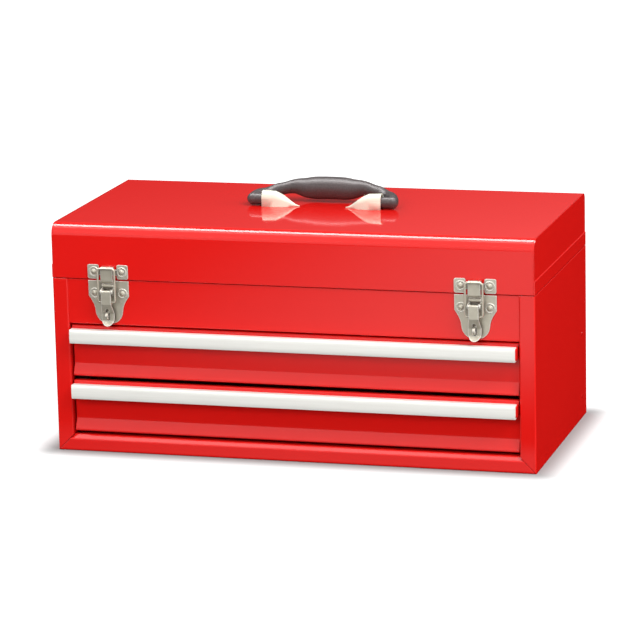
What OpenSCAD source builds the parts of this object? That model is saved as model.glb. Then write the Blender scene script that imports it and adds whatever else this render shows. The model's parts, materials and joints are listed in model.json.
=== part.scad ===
// Portable two-drawer steel tool chest with a hinged lid, in millimetres.
// X runs along the width, the front faces -Y, Z is up, and the origin is the centre of the underside.

/* [Case] */
// Overall width of the case
case_w = 510; // [490:1:560]
// Depth from the front flanges to the back panel
case_d = 256; // [250:1:300]
// Height of the body up to the lid seam
body_h = 184; // [180:1:200]
// Height of the lid above the seam
lid_h = 57; // [45:1:75]
// Depth of the open till above the drawers
till_d = 48; // [47:0.2:52]
// Thickness of the painted sheet
sheet = 1; // [0.8:0.05:1.1]
// Gap between body and lid at the seam
seam_gap = 0.8; // [0.6:0.1:1.4]
// Width of the flange on each side of the drawer opening
flange_w = 16.7; // [15:0.1:20]
// Height of the rail below the drawer opening
foot_rail_h = 17; // [14:0.5:18]
// Width of the sloping shoulder along the top of that rail
rail_slope = 4.5; // [3:0.5:6]
// Depth of the lips that turn back into the opening
lip_d = 12; // [9:0.5:14]
// Width of the hidden tabs where panels are welded together
tab_w = 11; // [8:0.5:14]
// Height of the hems along the upper edges
hem_h = 5; // [4:0.5:6]
// Radius of the folds, on the outside of the sheet
bend = 1.6; // [1.3:0.1:2]
// Clearance between neighbouring panels
panel_gap = 0.4; // [0.3:0.1:0.6]

/* [Lid] */
// Radius of the lid's front upper edge
lid_front_r = 12; // [8:0.5:16]
// Radius of the lid's rear upper edge
lid_rear_r = 7; // [4:0.5:12]
// Height of the strip along the foot of each lid end
strip_h = 14; // [12:0.5:18]
// How far that strip stands out from the lid end
strip_step = 0.6; // [0.4:0.1:0.9]
// Angle to which the lid opens
lid_open = 100; // [90:1:105]

/* [Drawers] */
// Gap under the lower drawer front
low_gap = 3.5; // [3:0.5:6]
// Gap between the two drawer fronts
mid_gap = 4.5; // [3:0.5:6]
// Gap over the upper drawer front
top_gap = 2; // [1:0.1:2.5]
// Gap at each end of a drawer front
end_gap = 1.4; // [1.2:0.1:2.5]
// How far a drawer slides out
drawer_travel = 165; // [120:1:180]
// Setback of the finger recess behind the case front
recess_d = 8; // [7:0.5:10]
// Setback of the flared foot's edge behind the case front
flare_d = 3; // [2:0.5:5]
// Height of the flared foot of a drawer front
flare_h = 13; // [8:0.5:14]
// Setback of the step above the pull behind the case front
step_d = 4; // [3:0.5:5]
// Height of a drawer front above its pull
crown_h = 2.6; // [2.5:0.1:6]
// Distance from the top of a drawer front down to its tray's edge
tray_drop = 9; // [8:0.5:12]
// Distance from the side of the opening to the tray's side
slide_space = 8.3; // [7.5:0.1:10]
// Clear height inside a drawer rail
rail_gap = 4; // [3.6:0.1:5]
// Running clearance of the drawer slides
slide_fit = 0.2; // [0.15:0.05:0.4]
// Clear space behind the trays
tray_rear_gap = 8; // [5:0.5:15]

/* [Drawer pulls] */
// Height of a pull
pull_h = 14.5; // [13:0.5:17]
// How far a pull stands out from the case front
pull_out = 9; // [8:0.5:11]
// Depth of a pull from front to back
pull_d = 8; // [7:0.5:9]
// Wall of a pull
pull_t = 1.3; // [1:0.1:1.6]
// Rise of the pull's crowned face
pull_bulge = 0.8; // [0.4:0.1:1.2]
// Clearance in front of the nose inside a pull
nose_fit = 0.2; // [0.1:0.05:0.4]
// How far a pull stops short of each end of its drawer front
pull_short = 1.2; // [1:0.1:4]

/* [Hinge and stays] */
// Length of the rear hinge
hinge_l = 470; // [300:1:480]
// Outer radius of the hinge knuckles
hinge_r = 2.4; // [2.1:0.1:3]
// Radius of the hinge pin
hinge_pin_r = 1.2; // [0.9:0.1:1.4]
// Height of each hinge leaf from the hinge axis
hinge_leaf = 18; // [12:0.5:25]
// Number of knuckles along the hinge
knuckles = 13; // [7:2:21]
// Clearance between turning parts of the hinge
hinge_gap = 0.4; // [0.3:0.05:0.5]
// Radial clearance of pins in their bores
pin_fit = 0.05; // [0.03:0.01:0.08]
// Distance from the hinge axis to each stay stud
stay_r = 26; // [22:0.5:26]
// Angle between the two stay studs about the hinge axis with the lid shut
stay_angle = 40; // [34:1:46]
// Width of a lid stay
stay_w = 8; // [7:0.5:9]
// Thickness of a lid stay
stay_t = 1.5; // [1:0.1:2]
// Radius of the stay studs
stud_r = 2; // [1.5:0.1:2.4]
// Space between the side wall and the stay
stay_space = 2; // [1.6:0.1:3]

/* [Handle] */
// Distance of the handle's pivot axis behind the middle of the lid
handle_y = 3.5; // [-10:0.5:20]
// Height of the pivot axis above the lid
handle_axis_h = 7; // [6:0.1:9]
// Distance from the middle to the pointed tip of a hood
hood_in = 25; // [20:0.5:32]
// Distance from the middle to the open mouth of a hood
hood_out = 64.5; // [60:0.5:66]
// Length of the sloping nose of a hood
hood_nose = 21; // [15:0.5:24]
// Sheet thickness of a hood
hood_t = 0.95; // [0.8:0.05:1.2]
// Clearance between the handle's pivot stubs and the hoods
hood_fit = 0.3; // [0.2:0.05:0.5]
// Half of the handle's length, to the middle of its end knobs
grip_half = 75.5; // [72:0.5:85]
// Distance of the grip's middle from the pivot axis
grip_reach = 33; // [30:0.5:45]
// Radius of the grip at its middle
grip_mid_r = 12; // [10:0.5:13]
// Radius of the steel pivot pins in the handle
pivot_pin_r = 3; // [2.5:0.1:4]
// Gap between the folded grip and the lid
grip_rest_gap = 2.5; // [0.5:0.1:3]

/* [Latches] */
// Distance of each latch's middle from the end of the case
latch_inset = 61; // [50:1:150]
// Width of a latch
latch_w = 43.5; // [40:0.5:46]
// Thickness of the latch plates
plate_t = 1; // [0.8:0.05:1.2]
// Distance of the latch plates from the seam
latch_gap = 1; // [0.8:0.1:1.4]
// Length of the latch base
base_l = 45.6; // [44:0.2:45.8]
// Height of the keeper on the lid
keeper_h = 15; // [13:0.5:17]
// Width of each keeper ear
ear_w = 12; // [10:0.5:12]
// Width of the keeper's tongue
tongue_w = 13; // [10:0.5:14]
// How far the tongue stands out from the lid
tongue_out = 5.5; // [4.5:0.1:6.5]
// Width of the bail
bail_w = 20.3; // [20:0.1:21]
// Radius of the bail wire
wire_r = 1.1; // [0.9:0.05:1.2]
// Height of the bail's cross bar above the seam
bar_up = 13; // [11:0.5:15]
// Clearance between the bail and the tongue
hook_gap = 0.4; // [0.3:0.05:0.6]
// Width of the lever at its pivot
lever_w = 10.4; // [9:0.1:10.8]
// Width of the lever's paddle
paddle_w = 14; // [12:0.5:15]
// Distance of the lever pivot below the seam
pivot_drop = 12; // [11:0.5:13]
// Distance of the lever pivot from the case front panel
pivot_out = 6.5; // [6:0.1:7.5]
// Distance of the bail's lower ends below the seam
bail_drop = 22; // [21:0.5:23]
// Radius of the lever pin
lever_pin_r = 1.5; // [1.2:0.1:1.7]
// Width of the slot in the lever
slot_w = 4; // [3.5:0.1:5]
// Thickness of the padlock staple
staple_t = 2.4; // [2:0.1:2.6]
// Radius of the hole in the padlock staple
staple_hole_r = 2; // [1.5:0.1:2.4]
// Distance of the rivets from the middle of a latch
rivet_x = 15; // [14:0.1:16]
// Radius of the rivet heads
rivet_head_r = 3.2; // [2.5:0.1:3.5]
// Radius of the rivet shanks
rivet_r = 1.6; // [1.2:0.1:2]

/* [Hidden] */
$fn = 48;
cut = 1; // how far a cutting shape runs past what it cuts

// Main planes of the case
half_w = case_w / 2;
front_y = -case_d / 2;
rear_y = case_d / 2;
body_top = body_h - seam_gap / 2;
lid_foot = body_h + seam_gap / 2;
lid_top = body_h + lid_h;
till_z = body_h - till_d;
open_x = half_w - flange_w;
wall_x = half_w - sheet;
wrap_x = wall_x - strip_step;
panel_x = half_w - bend - panel_gap / 2;
tab_x = half_w - tab_w - panel_gap;
back_y = rear_y - sheet;
ledge_d = 4; // depth of the ledge along the till panel's foot
floor_tab = 7; // height of the till floor's edges, turned down
face_y = front_y + sheet;

// Drawer fronts, from their lower edges
front_h = (till_z - foot_rail_h - low_gap - mid_gap - top_gap) / 2;
front_x = open_x - end_gap;
low_z = foot_rail_h + low_gap;
up_z = low_z + front_h + mid_gap;
recess_y = front_y + recess_d;
flare_y = front_y + flare_d;
step_y = front_y + step_d;
foot_lap = 8; // how far the front's foot runs under the tray
crown_lap = 6; // how far the front's top edge turns back
pull_y = front_y - pull_out;
pull_back = pull_y + pull_d;
pull_top = front_h - crown_h;
pull_x = front_x - pull_short;
nose_y = pull_y + pull_bulge + pull_t + nose_fit;
step_drop = 0.9; // drop of the ledge behind the pull's top

// Trays and their rails
tray_x = open_x - slide_space;
tray_y = recess_y + sheet;
tray_end = rear_y - tray_rear_gap;
tray_h = front_h - tray_drop;
slide_out = open_x - end_gap + panel_gap;
rail_in = tray_x + end_gap;
rail_front = front_y + lip_d + cut;
seat_h = tray_h - sheet - slide_fit;
stop_t = 2.5; // thickness of the stops in the rails
stop_gap = 0.8; // clearance of a stop over the sliding flange
lug_h = 1.6; // height of the lug that meets the stop
lug_t = 3; // thickness of that lug
lug_y = rail_front + stop_t + drawer_travel + cut;

// Hinge axis and stay studs
hinge_y = rear_y + hinge_r + hinge_gap;
stay_y = hinge_y - stay_r * cos(stay_angle / 2);
stay_up = stay_r * sin(stay_angle / 2);
stay_long = 2 * stay_r * sin((stay_angle + lid_open) / 2);
stay_x = wall_x - stay_space;
stay_fit = 0.2; // clearance at each side of a stay
shoulder_rim = 0.8;
shoulder_r = stud_r + shoulder_rim;
stud_head_rim = 1.4;
stud_head_r = stud_r + stud_head_rim;
stud_head_t = 1;

// Handle
hood_side = 0.7; // how much narrower a hood is than it is tall, at each side
hood_r = handle_axis_h - hood_side;
hood_over = hood_r + hood_t;
nose_tip = 0.06; // size of a hood's tip against its arch
nose_sag = 1.25; // power that moves the nose's slope towards its tip
nose_solid = 9; // length of the solid end of a nose
stub_gap = 2; // space between a stub and the nose of its hood
stub_r = hood_r - hood_fit;
stub_in = hood_in + hood_nose + stub_gap;
grip_swell = 0.5; // how far the grip's ends stand proud of the stubs
grip_end_r = stub_r + grip_swell;
grip_angle = asin((grip_mid_r - handle_axis_h + grip_rest_gap) / grip_reach);
tab_back = 16; // distance of a hood's tabs from its mouth
hood_tab_x = hood_out - tab_back;
hood_tab_w = 8;
hood_tab_l = 4; // length of a tab's bent foot
tab_fit = 0.1; // clearance of a tab in its slot

// Latch places, measured down or up from the seam and out from the panel face
latch_x = half_w - latch_inset;
lid_out = sheet + plate_t;
bail_out = sheet + tongue_out + hook_gap + wire_r;
lever_out = bail_out + wire_r + hook_gap + plate_t;
lever_rise = 2.2; // height of the lever's upper edge over its pivot
lever_drop = pivot_drop - lever_rise;
knee_below = 2.5; // distance from the bail's pivot down to the lever's knee
knee_drop = bail_drop + knee_below;
paddle_space = 4.5; // space behind the paddle
paddle_out = plate_t + paddle_space;
paddle_slope = 2; // fall of the lever between knee and paddle, for each unit inwards
paddle_drop = knee_drop + paddle_slope * (lever_out - paddle_out);
toe_gap = 0.5; // height of the lever's toe over the till panel's foot
toe_drop = till_d - toe_gap;
toe_back = 0.9; // how far the toe stays behind the lever's front
toe_out = lever_out - toe_back;
toe_h = 5;
slot_l = 13.2;
slot_foot = 0.4; // metal between the slot and the toe's fold
slot_end = toe_drop - toe_h - slot_foot;
slot_drop = slot_end - slot_l;
staple_rim = 1.5;
staple_r = staple_hole_r + staple_rim;
staple_up = 1.7; // height of the staple's foot over the slot's end
staple_drop = slot_end - staple_r - staple_up;
staple_out = paddle_out + staple_hole_r + stay_fit;
lever_ear_r = 3;
bail_ear_rim = 1.5;
bail_ear_r = wire_r + bail_ear_rim;
lug_fit = 0.3;
lug_in = lever_w / 2 + lug_fit;
lug_w = 1.2;
lug_r = 3.2;
pin_head_rim = 0.7;
pin_head_r = lever_pin_r + pin_head_rim;
pin_head_t = 0.5;
rib_r = 2.5;
rib_l = 12.7;
rib_drop = 6.5;
corner_r = 3;
foot_r = 2.2;
bail_x = bail_w / 2 - wire_r;
tongue_drop = 3;
base_rivet_drop = 14.2;
keeper_rivet_up = latch_gap + keeper_h / 2;
rivet_head_h = 1.7;
rivet_tail_rim = 0.8;
rivet_tail_r = rivet_r + rivet_tail_rim;
dish_gap = 1.4; // distance of a pressed rim from its rivet's head
dish_r = rivet_head_r + dish_gap;
dish_rim_r = 0.6;
rivet_tail_h = 0.8;
rivet_fit = 0.05;

// Colours
red = [0.86, 0.08, 0.07];
nickel = [0.78, 0.75, 0.68];
zinc = [0.72, 0.73, 0.74];
alloy = [0.90, 0.90, 0.90];
plastic = [0.20, 0.20, 0.21];
plated = [0.92, 0.89, 0.82];

// Folded sheet: paths, rounded folds and the outline between a path and its parallel
function unit(a, b) = (b - a) / norm(b - a);
function left_of(d) = [-d.y, d.x];
function turned(v, a) = [v.x * cos(a) - v.y * sin(a), v.x * sin(a) + v.y * cos(a)];
function bezier3(a, b, c, d, t) =
    a * (1 - t) ^ 3 + b * 3 * t * (1 - t) ^ 2 + c * 3 * t ^ 2 * (1 - t) + d * t ^ 3;
function fold_arc(before, corner, after, r, steps) =
    let (into = unit(before, corner))
    let (out = unit(corner, after))
    let (turn = atan2(cross(into, out), into * out))
    let (spoke = left_of(into) * r * sign(turn))
    let (centre = corner - into * r * tan(abs(turn) / 2) + spoke)
    [for (k = [0 : steps]) centre - turned(spoke, turn * k / steps)];
function rounded(path, r, steps = 4) = [
    for (i = [0 : len(path) - 1])
        if (i == 0 || i == len(path) - 1) path[i]
        else each fold_arc(path[i - 1], path[i], path[i + 1], r, steps)
];
function shifted(path, i, s) =
    let (last = len(path) - 1)
    let (before = left_of(unit(path[max(i - 1, 0)], path[max(i, 1)])))
    let (after = left_of(unit(path[min(i, last - 1)], path[min(i + 1, last)])))
    let (both = before + after)
    path[i] + both * (2 * s / (both * both));
function sheet_outline(path, t) =
    concat(path, [for (i = [len(path) - 1 : -1 : 0]) shifted(path, i, t)]);

// Section of folded sheet, thickness t to the left of the path
module folded(path, t) {
    polygon(sheet_outline(rounded(path, bend), t));
}

// Extrusions of a (y, z) section along X and of an (x, z) section along Y
module along_x(x0, x1) {
    translate([x0, 0, 0]) rotate([90, 0, 90]) linear_extrude(x1 - x0) children();
}
module along_y(y0, y1) {
    translate([0, y1, 0]) rotate([90, 0, 0]) linear_extrude(y1 - y0) children();
}
module block(low, high) {
    translate(low) cube(high - low);
}
module rod_x(x0, x1, y, z, r) {
    translate([x0, y, z]) rotate([0, 90, 0]) cylinder(r = r, h = x1 - x0);
}
module left_copy() {
    mirror([1, 0, 0]) children();
}

// Case panels
module side_panel() {
    difference() {
        linear_extrude(body_top)
            folded([[half_w - tab_w, back_y], [half_w, back_y], [half_w, front_y],
                    [open_x, front_y], [open_x, front_y + lip_d]], -sheet);
        block([open_x - cut, face_y, till_z - panel_gap], [panel_x, front_y + lip_d + cut, body_top + cut]);
        block([open_x - cut, face_y, -cut], [open_x + bend + cut, front_y + lip_d + cut, foot_rail_h]);
        along_y(front_y - cut, face_y)
            polygon([[open_x - cut, foot_rail_h], [open_x, foot_rail_h], [half_w, 0],
                     [half_w, -cut], [open_x - cut, -cut]]);
    }
    block([wall_x - sheet, face_y + 2 * sheet + cut, body_top - hem_h],
          [wall_x + sheet / 2, stay_y - stay_w, body_top]);
}
module right_side_panel() { color(red) side_panel(); }
module left_side_panel() { color(red) left_copy() side_panel(); }

module bottom_panel() {
    color(red) {
        difference() {
            along_x(-wall_x, wall_x)
                folded([[front_y + lip_d, foot_rail_h], [front_y + rail_slope, foot_rail_h],
                        [front_y, foot_rail_h - rail_slope], [front_y, 0],
                        [back_y, 0], [back_y, tab_w]], sheet);
            for (side = [0, 1]) mirror([side, 0, 0]) {
                along_y(front_y - cut, front_y + lip_d + cut)
                    polygon([[open_x - panel_gap, foot_rail_h + cut], [open_x - panel_gap, foot_rail_h],
                             [half_w - panel_gap, 0], [half_w - panel_gap, -cut],
                             [half_w, -cut], [half_w, foot_rail_h + cut]]);
                block([tab_x, back_y - sheet, -cut], [half_w, rear_y, tab_w + cut]);
            }
        }
        for (side = [0, 1]) mirror([side, 0, 0])
            block([wall_x - sheet, front_y + lip_d + 2 * cut, 0],
                  [wall_x, back_y - sheet - panel_gap, tab_w]);
    }
}

module back_panel() {
    color(red) {
        block([-half_w, back_y, 0], [half_w, rear_y, body_top]);
        block([-tab_x, back_y - sheet, body_top - hem_h], [tab_x, back_y + sheet / 2, body_top]);
    }
}

module till_front_panel() {
    color(red) difference() {
        union() {
            along_x(-panel_x, panel_x)
                folded([[face_y, body_top], [face_y, till_z], [face_y + ledge_d, till_z]], sheet);
            block([-panel_x, face_y + sheet / 2, body_top - hem_h],
                  [panel_x, face_y + 2 * sheet, body_top]);
        }
        at_latches() rivet_holes(0, -base_rivet_drop);
    }
}

module till_floor() {
    floor_top = till_z + 2 * sheet;
    tab_foot = floor_top - floor_tab;
    front = face_y + bend + panel_gap / 2;
    color(red) {
        difference() {
            along_y(front, back_y - sheet)
                folded([[wall_x, tab_foot], [wall_x, floor_top], [-wall_x, floor_top],
                        [-wall_x, tab_foot]], sheet);
            block([-half_w, front - cut, tab_foot - cut],
                  [half_w, face_y + ledge_d + panel_gap, floor_top - sheet]);
        }
        block([-tab_x, back_y - sheet - cut, floor_top - sheet], [tab_x, back_y, floor_top]);
        block([-tab_x, back_y - sheet, tab_foot], [tab_x, back_y, floor_top]);
    }
}

// Drawer rails: channels welded to the side walls, with a stop at the front
module drawer_rail(base) {
    seat = base + seat_h;
    along_y(rail_front, tray_end)
        folded([[rail_in, seat + rail_gap + sheet], [wall_x, seat + rail_gap + sheet],
                [wall_x, seat - sheet], [rail_in, seat - sheet]], -sheet);
    block([rail_in, rail_front, seat + slide_fit + sheet + stop_gap],
          [slide_out, rail_front + stop_t, seat + rail_gap + sheet / 2]);
}
module upper_right_rail() { color(zinc) drawer_rail(up_z); }
module upper_left_rail() { color(zinc) left_copy() drawer_rail(up_z); }
module lower_right_rail() { color(zinc) drawer_rail(low_z); }
module lower_left_rail() { color(zinc) left_copy() drawer_rail(low_z); }

// Drawers
module drawer_tray(base) {
    floor_z = base + 2 * sheet;
    top = base + tray_h;
    in_x = tray_x - sheet;
    along_y(tray_y, tray_end)
        folded([[slide_out, top], [in_x, top], [in_x, floor_z], [-in_x, floor_z],
                [-in_x, top], [-slide_out, top]], sheet);
    block([-in_x, tray_y, floor_z - sheet / 2], [in_x, tray_y + sheet, top]);
    block([-in_x, tray_end - sheet, floor_z - sheet / 2], [in_x, tray_end, top]);
    for (side = [0, 1]) mirror([side, 0, 0])
        block([rail_in, lug_y, top - sheet / 2], [slide_out, lug_y + lug_t, top + lug_h]);
}
module drawer_front(base) {
    nose_low = base + pull_top - pull_h + pull_t;
    nose_top = base + pull_top - pull_t;
    along_x(-front_x, front_x)
        folded([[tray_y + foot_lap, base], [flare_y, base], [recess_y, base + flare_h],
                [recess_y, nose_low], [nose_y, nose_low], [nose_y, nose_top],
                [pull_back + panel_gap, nose_top], [step_y, nose_top + pull_t - step_drop],
                [step_y, base + front_h], [step_y + crown_lap, base + front_h]], -sheet);
    for (side = [0, 1]) mirror([side, 0, 0])
        block([front_x - sheet, nose_y + sheet / 2, nose_low + sheet / 2],
              [front_x, recess_y + sheet / 2, nose_top - sheet / 2]);
}
module drawer_pull(base) {
    low = base + pull_top - pull_h;
    steps = 12;
    face = [for (k = [0 : steps]) let (u = 2 * k / steps - 1)
                [pull_y + pull_bulge * u ^ 4, low + pull_h * k / steps]];
    along_x(-pull_x, pull_x) difference() {
        polygon(concat(face, [[pull_back, low + pull_h], [pull_back, low]]));
        translate([nose_y - nose_fit, low + pull_t]) square([pull_d, pull_h - 2 * pull_t]);
    }
}
module upper_drawer_tray() { color(red) drawer_tray(up_z); }
module upper_drawer_front() { color(red) drawer_front(up_z); }
module upper_drawer_pull() { color(alloy) drawer_pull(up_z); }
module lower_drawer_tray() { color(red) drawer_tray(low_z); }
module lower_drawer_front() { color(red) drawer_front(low_z); }
module lower_drawer_pull() { color(alloy) drawer_pull(low_z); }

// Lid: one wrapped sheet and two flanged ends
module lid_outline(inset, drop = 0) {
    low = lid_foot - drop;
    front_c = front_y + lid_front_r;
    rear_c = rear_y - lid_rear_r;
    translate([front_y + inset, low]) square([lid_front_r - inset, lid_top - lid_front_r - low]);
    translate([front_c, low]) square([rear_c - front_c, lid_top - inset - low]);
    translate([rear_c, low]) square([lid_rear_r - inset, lid_top - lid_rear_r - low]);
    translate([front_c, lid_top - lid_front_r]) circle(lid_front_r - inset);
    translate([rear_c, lid_top - lid_rear_r]) circle(lid_rear_r - inset);
}
module lid_wrap() {
    hem_x = wrap_x - tab_w - panel_gap;
    color(red) {
        difference() {
            along_x(-wrap_x, wrap_x) difference() {
                lid_outline(0);
                lid_outline(sheet, cut);
            }
            at_latches() rivet_holes(0, keeper_rivet_up);
            for (side = [0, 1]) mirror([side, 0, 0]) hood_tabs(tab_fit);
        }
        block([-hem_x, face_y - sheet / 2, lid_foot], [hem_x, face_y + sheet, lid_foot + hem_h]);
        block([-hem_x, back_y - sheet, lid_foot], [hem_x, back_y + sheet / 2, lid_foot + hem_h]);
    }
}
module lid_end() {
    along_x(wrap_x, wrap_x + sheet) lid_outline(0);
    block([wrap_x, front_y, lid_foot], [half_w, rear_y, lid_foot + strip_h]);
    along_x(wrap_x - tab_w, wrap_x + sheet / 2) difference() {
        lid_outline(sheet + tab_fit);
        lid_outline(2 * sheet, cut);
    }
}
module lid_right_end() { color(red) lid_end(); }
module lid_left_end() { color(red) left_copy() lid_end(); }

// Rear hinge: two leaves with alternate knuckles on one long pin
module hinge_half(first) {
    pitch = hinge_l / knuckles;
    difference() {
        union() {
            block([-hinge_l / 2, rear_y, -hinge_leaf], [hinge_l / 2, rear_y + sheet, -hinge_r - hinge_gap]);
            for (k = [first : 2 : knuckles - 1]) {
                x0 = k * pitch - hinge_l / 2 + hinge_gap / 2;
                x1 = x0 + pitch - hinge_gap;
                block([x0, rear_y, -hinge_leaf], [x1, rear_y + sheet, 0]);
                rod_x(x0, x1, hinge_y, 0, hinge_r);
            }
        }
        rod_x(-hinge_l / 2 - cut, hinge_l / 2 + cut, hinge_y, 0, hinge_pin_r + pin_fit);
    }
}
module hinge_lower_leaf() { color(zinc) translate([0, 0, body_h]) hinge_half(0); }
module hinge_upper_leaf() { color(zinc) translate([0, 0, body_h]) mirror([0, 0, 1]) hinge_half(1); }
module hinge_pin() { color(zinc) rod_x(-hinge_l / 2, hinge_l / 2, hinge_y, body_h, hinge_pin_r); }

// Lid stays: slotted straps that turn on the lid stud and slide on the body stud
module stay_stud(root_x, z) {
    pin_x = stay_x - stay_t - 2 * stay_fit;
    rod_x(stay_x, root_x, stay_y, z, shoulder_r);
    rod_x(pin_x, stay_x, stay_y, z, stud_r);
    rod_x(pin_x - stud_head_t, pin_x, stay_y, z, stud_head_r);
}
module stay_body_studs() {
    color(zinc) for (side = [0, 1]) mirror([side, 0, 0]) stay_stud(wall_x, body_h - stay_up);
}
module stay_lid_studs() {
    color(zinc) for (side = [0, 1]) mirror([side, 0, 0]) stay_stud(wrap_x, body_h + stay_up);
}
module link(from, to, r) {
    translate([0, from]) circle(r);
    translate([0, to]) circle(r);
    translate([-r, min(from, to)]) square([2 * r, abs(to - from)]);
}
module lid_stay() {
    play = 2 * pin_fit;
    translate([0, stay_y, body_h + stay_up])
        along_x(stay_x - stay_fit - stay_t, stay_x - stay_fit) difference() {
            link(0, -stay_long, stay_w / 2);
            circle(stud_r + pin_fit);
            link(play - 2 * stay_up, -stay_long - play, stud_r + play);
        }
}
module right_lid_stay() { color(zinc) lid_stay(); }
module left_lid_stay() { color(zinc) left_copy() lid_stay(); }

// A solid skin over rings of points, closed at both ends
module loft(rings) {
    sides = len(rings[0]);
    last = len(rings) - 1;
    walls = [
        for (i = [0 : last - 1], j = [0 : sides - 1])
            let (a = i * sides + j)
            let (b = i * sides + (j + 1) % sides)
            each [[a, a + sides, b], [b, a + sides, b + sides]]
    ];
    ends = [
        [for (j = [0 : sides - 1]) j],
        [for (j = [sides - 1 : -1 : 0]) last * sides + j]
    ];
    polyhedron([for (ring = rings) each ring], concat(walls, ends));
}

// Handle hoods: sheet arches with a sloping nose, held by tabs bent under the lid
nose_steps = 8; // straight pieces along a nose
arch_steps = 24; // straight pieces round an arch
function nose_size(k) = nose_tip + (1 - nose_tip) * (1 + cos(180 * (k / nose_steps) ^ nose_sag)) / 2;
function arch_ring(x, r, size, drop) = concat(
    [[x, size * r, -drop]],
    [for (j = [0 : arch_steps]) let (turn = 180 * j / arch_steps)
        [x, size * r * cos(turn), size * (handle_axis_h + r * sin(turn))]],
    [[x, -size * r, -drop]]
);
module hood_form(r, mouth, back, drop) {
    loft(concat(
        [for (k = [nose_steps : -1 : 0])
            arch_ring(hood_in + hood_nose - (hood_nose - back) * k / nose_steps, r, nose_size(k), drop)],
        [arch_ring(mouth, r, 1, drop)]
    ));
}
module hood_tabs(fit) {
    foot = lid_top - 2 * sheet;
    for (face = [0, 1]) translate([0, handle_y, 0]) mirror([0, face, 0]) {
        block([hood_tab_x - fit, hood_r - fit, foot],
              [hood_tab_x + hood_tab_w + fit, hood_over + fit, lid_top + (fit > 0 ? cut : 0)]);
        if (fit == 0)
            block([hood_tab_x, hood_r, foot],
                  [hood_tab_x + hood_tab_w, hood_over + hood_tab_l, foot + sheet]);
    }
}
module handle_hood() {
    translate([0, handle_y, lid_top]) difference() {
        hood_form(hood_over, hood_out, 0, 0);
        hood_form(hood_r, hood_out + cut, nose_solid, cut);
    }
    hood_tabs(0);
}
module right_handle_hood() { color(plated) handle_hood(); }
module left_handle_hood() { color(plated) left_copy() handle_hood(); }

// Handle grip: round sections lofted along a bow, with stubs that turn in the hoods
grip_steps = 14; // sections from the middle to each end
cap_steps = 4; // sections that round off each end
grip_sides = 20;
grip_rings = grip_steps + cap_steps;
grip_taper = 2.2; // power of the grip's taper towards its ends
bow_flat = [0.56, 1.03]; // handle of the bow's flat middle, in parts of its half length and reach
bow_elbow = [0.94, 0.9]; // handle of the bow's elbow, in the same parts
bow = [
    [0, grip_reach],
    [bow_flat.x * grip_half, bow_flat.y * grip_reach],
    [bow_elbow.x * grip_half, bow_elbow.y * grip_reach],
    [grip_half, 0]
];
bow_end = unit(bow[2], bow[3]);
function bow_at(t) = bezier3(bow[0], bow[1], bow[2], bow[3], t);
function bow_dir(t) = unit(bow_at(t - 0.001), bow_at(t + 0.001));
cap_end = 80; // angle at which a cap ends, just short of closing
function cap_angle(a) = cap_end * (a - grip_steps) / cap_steps;
function grip_mid(a) =
    a <= grip_steps ? bow_at(a / grip_steps) : bow[3] + bow_end * grip_end_r * sin(cap_angle(a));
function grip_r(a) =
    a <= grip_steps ? grip_mid_r - (grip_mid_r - grip_end_r) * (a / grip_steps) ^ grip_taper
                    : grip_end_r * cos(cap_angle(a));
function grip_dir(a) = a < grip_steps ? bow_dir(a / grip_steps) : bow_end;
function grip_ring(i) =
    let (side = i < 0 ? -1 : 1)
    let (mid = grip_mid(abs(i)))
    let (dir = grip_dir(abs(i)))
    let (r = grip_r(abs(i)))
    [for (j = [0 : grip_sides - 1]) let (turn = 360 * j / grip_sides)
        [side * (mid.x - r * cos(turn) * dir.y), mid.y + r * cos(turn) * dir.x, r * sin(turn)]];
module handle_grip() {
    color(plastic) translate([0, handle_y, lid_top + handle_axis_h]) difference() {
        union() {
            rotate([grip_angle, 0, 0]) loft([for (i = [-grip_rings : grip_rings]) grip_ring(i)]);
            for (side = [0, 1]) mirror([side, 0, 0]) rod_x(stub_in, grip_half, 0, 0, stub_r);
        }
        for (side = [0, 1]) mirror([side, 0, 0])
            rod_x(stub_in - cut, grip_half - stub_r, 0, 0, pivot_pin_r + pin_fit);
    }
}
module handle_pivot_pins() {
    color(zinc) translate([0, handle_y, lid_top + handle_axis_h])
        for (side = [0, 1]) mirror([side, 0, 0]) rod_x(stub_in - cut, grip_half - stub_r, 0, 0, pivot_pin_r);
}

// Latches, each in its own frame: middle of the latch, face of the till panel, height of the seam
module at_latch(side) {
    translate([side * latch_x, face_y, body_h]) children();
}
module at_latches() {
    at_latch(-1) children();
    at_latch(1) children();
}
function mirrored(points) = concat(points, [
    for (i = [len(points) - 1 : -1 : 0]) if (points[i].x > 0) [-points[i].x, points[i].y]
]);
module rivet_holes(y, z) {
    for (x = [-rivet_x, rivet_x]) translate([x, y, z]) rotate([90, 0, 0])
        cylinder(r = rivet_r + rivet_fit, h = 4 * (sheet + plate_t), center = true);
}
module rivet_rims(y, z) {
    for (x = [-rivet_x, rivet_x]) translate([x, y, z]) rotate([90, 0, 0])
        rotate_extrude() translate([dish_r, 0]) circle(dish_rim_r);
}
module rivet(x, y, z) {
    grip = plate_t + sheet;
    dome = (rivet_head_r ^ 2 + rivet_head_h ^ 2) / (2 * rivet_head_h);
    translate([x, y, z]) rotate([90, 0, 0]) {
        rotate_extrude() intersection() {
            translate([0, rivet_head_h - dome]) circle(dome);
            square([rivet_head_r, rivet_head_h]);
        }
        translate([0, 0, -grip]) cylinder(r = rivet_r, h = grip);
        translate([0, 0, -grip - rivet_tail_h]) cylinder(r = rivet_tail_r, h = rivet_tail_h);
    }
}
module latch_base_rivets() {
    color(nickel) at_latches() for (x = [-rivet_x, rivet_x]) rivet(x, -plate_t, -base_rivet_drop);
}
module keeper_rivets() {
    color(nickel) at_latches() for (x = [-rivet_x, rivet_x]) rivet(x, -lid_out, keeper_rivet_up);
}

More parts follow.
